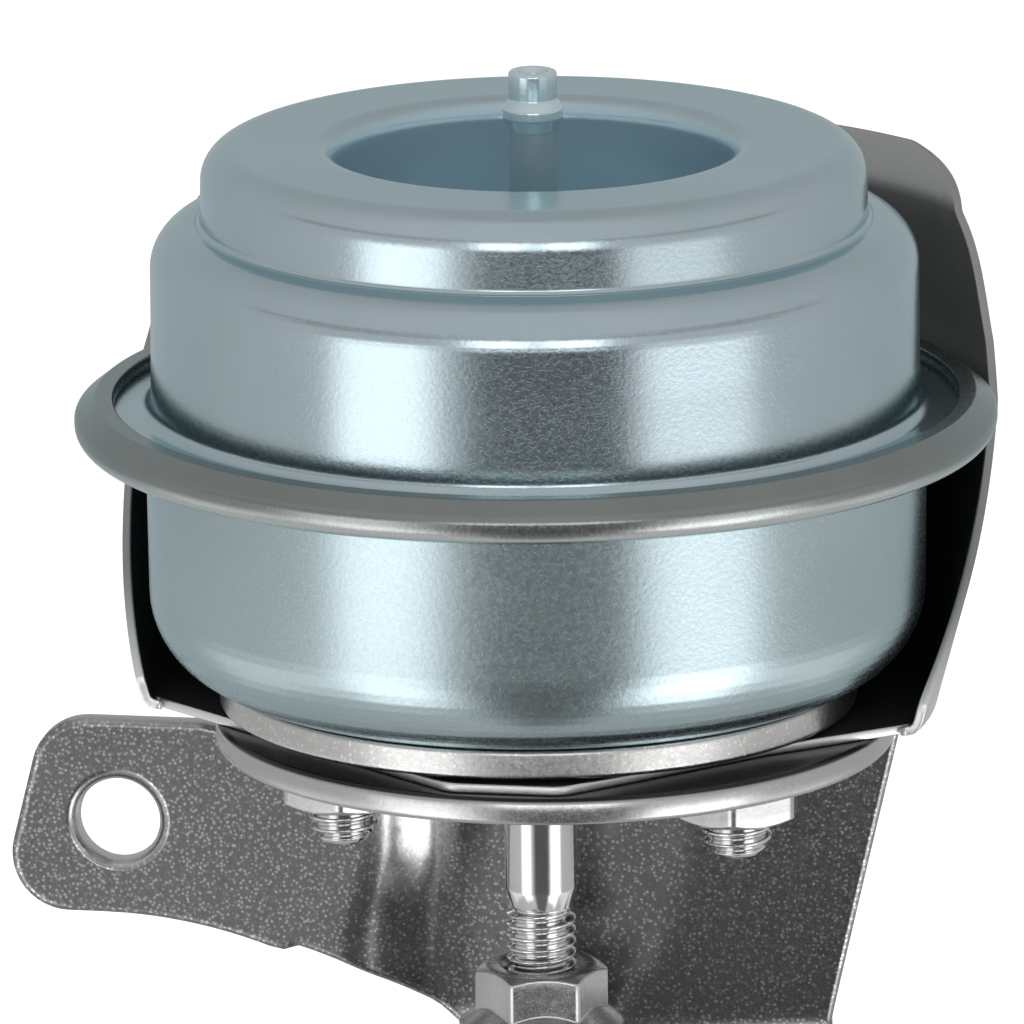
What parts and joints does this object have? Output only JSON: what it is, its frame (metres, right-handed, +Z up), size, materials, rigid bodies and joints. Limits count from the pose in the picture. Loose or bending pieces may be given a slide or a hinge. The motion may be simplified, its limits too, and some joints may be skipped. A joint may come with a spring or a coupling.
{
  "type": "turbo actuator",
  "caption": "Vacuum actuator for a variable turbocharger: crimped diaphragm can with hose nipple, sprung push rod with adjustable rod end, pressed bracket and heat shield.",
  "frame": {"origin": "centre of the rod-end eye with the rod at rest", "axes": "+Z up the rod's axis to the hose nipple, X through the two mounting studs, +Y from the rod to the bracket's skirt"},
  "size_m": [0.0869, 0.0817, 0.1136],
  "materials": {
    "zinc_can": "satin blue zinc",
    "zinc_nipple": "glossy blue zinc",
    "rubber_black": "matte",
    "steel_plain": "satin",
    "steel_bright": "polished",
    "steel_spring": "oiled",
    "bronze": "sintered",
    "steel_speckled": "coated, speckled",
    "shield_steel": "dark, heat blackened",
    "bracket_steel": "dark grey metallic coating",
    "steel_forged": "forged"
  },
  "bodies": {
    "housing": {"top_can": "zinc_can", "lower_can": "zinc_can", "hose_nipple": "zinc_nipple", "diaphragm": "rubber_black", "spring_seat": "steel_plain", "return_spring": "steel_spring", "bush_housing": "steel_plain", "guide_bush": "bronze", "rod_seal": "rubber_black", "stud_plate": "steel_speckled", "mounting_studs": "steel_bright", "stud_washers": "steel_plain", "stud_nuts": "steel_speckled", "heat_shield": "shield_steel", "bracket": "bracket_steel"},
    "rod": {"push_rod": "steel_bright", "piston_cup": "steel_plain", "clamp_washer": "steel_plain", "rod_washer": "steel_plain", "rod_nut": "steel_plain", "lock_nut": "steel_plain", "rod_end": "steel_forged", "rod_end_bush": "steel_bright"}
  },
  "joints": [
    {"name": "rod_slide", "type": "slide", "parent": "housing", "child": "rod", "axis": [0, 0, 1], "range_m": [0, 0.012], "stiffness_N_per_m": 10700, "springref_m": -0.0036, "deforming": ["return_spring", "diaphragm"]}
  ]
}
